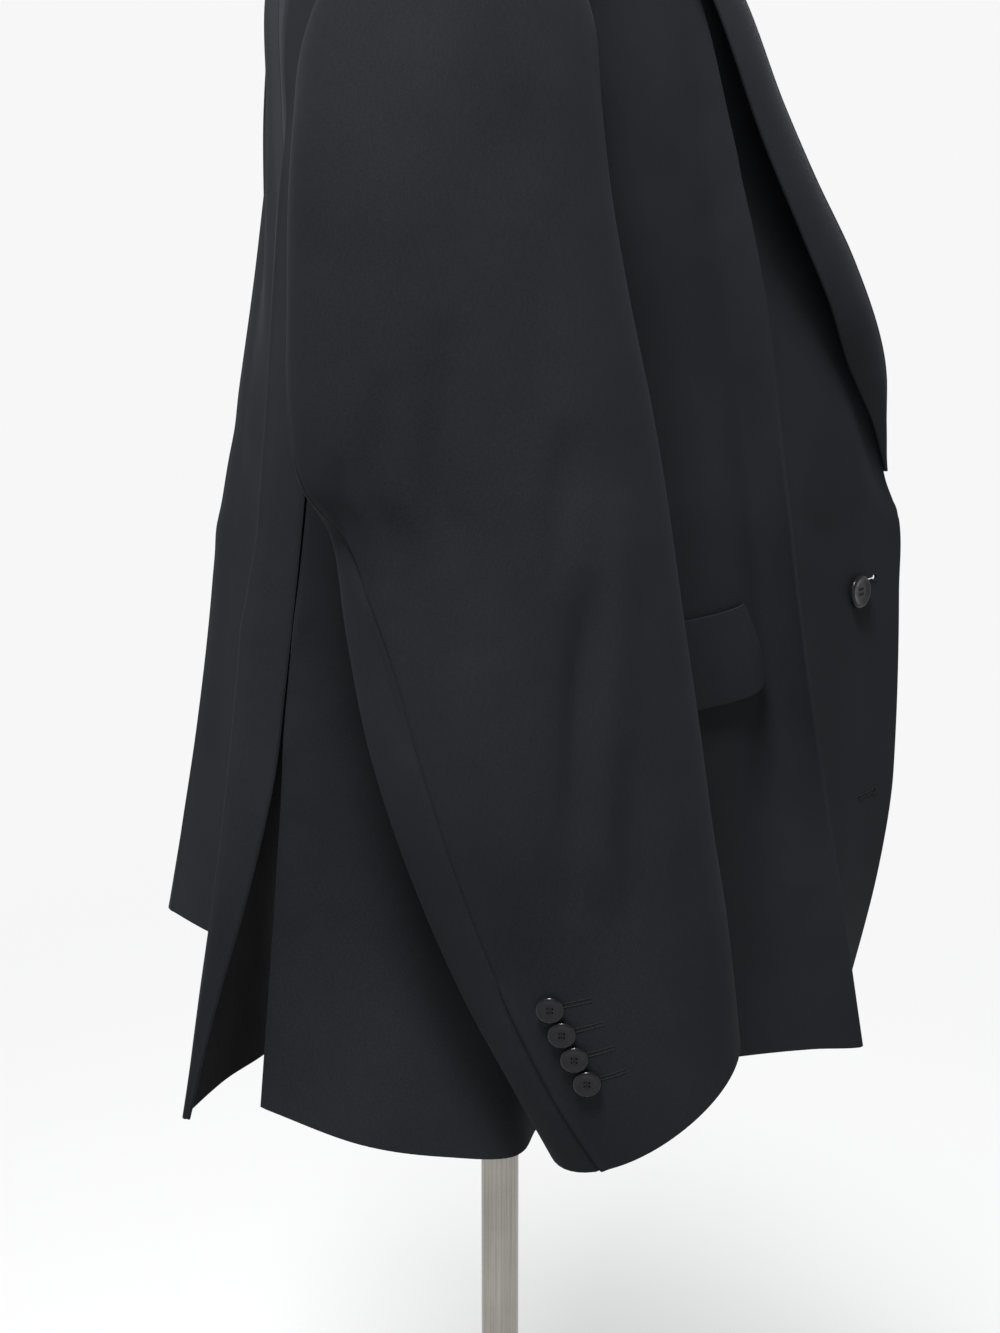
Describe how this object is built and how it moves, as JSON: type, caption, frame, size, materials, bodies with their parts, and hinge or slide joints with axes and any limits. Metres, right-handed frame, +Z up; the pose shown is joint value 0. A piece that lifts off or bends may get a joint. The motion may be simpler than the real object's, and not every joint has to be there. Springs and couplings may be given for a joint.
{
  "type": "two-button suit jacket on a dress form",
  "caption": "Single-breasted wool suit jacket with notch lapels, flap pockets and side vents, worn by a limbless dress form on a round-based pole stand.",
  "frame": {"origin": "on the floor, at the centre of the stand's round base, under the pole", "axes": "+Z up along the pole, -Y the way the jacket's front faces, +X towards the wearer's left"},
  "size_m": [0.5896, 0.4595, 1.515],
  "materials": {
    "wool": "plain-woven black worsted wool, soft sheen",
    "button": "polished dark horn-look resin",
    "linen": "close natural cotton-linen cover",
    "steel": "brushed along its length",
    "paint": "smooth pale satin paint",
    "wood": "satin varnish"
  },
  "bodies": {
    "root": {"front_right": "wool", "side_panel_right": "wool", "back_right": "wool", "lapel_right": "wool", "pocket_flap_right": "wool", "sleeve_upper_right": "wool", "sleeve_under_right": "wool", "front_left": "wool", "side_panel_left": "wool", "back_left": "wool", "lapel_left": "wool", "pocket_flap_left": "wool", "sleeve_upper_left": "wool", "sleeve_under_left": "wool", "collar": "wool", "front_button_upper": "button", "front_button_lower": "button", "sleeve_button_right_1": "button", "sleeve_button_right_2": "button", "sleeve_button_right_3": "button", "sleeve_button_right_4": "button", "sleeve_button_left_1": "button", "sleeve_button_left_2": "button", "sleeve_button_left_3": "button", "sleeve_button_left_4": "button", "form_torso": "linen", "form_cap": "wood", "stand_pole": "steel", "stand_hub": "steel", "stand_base": "paint"}
  },
  "joints": []
}
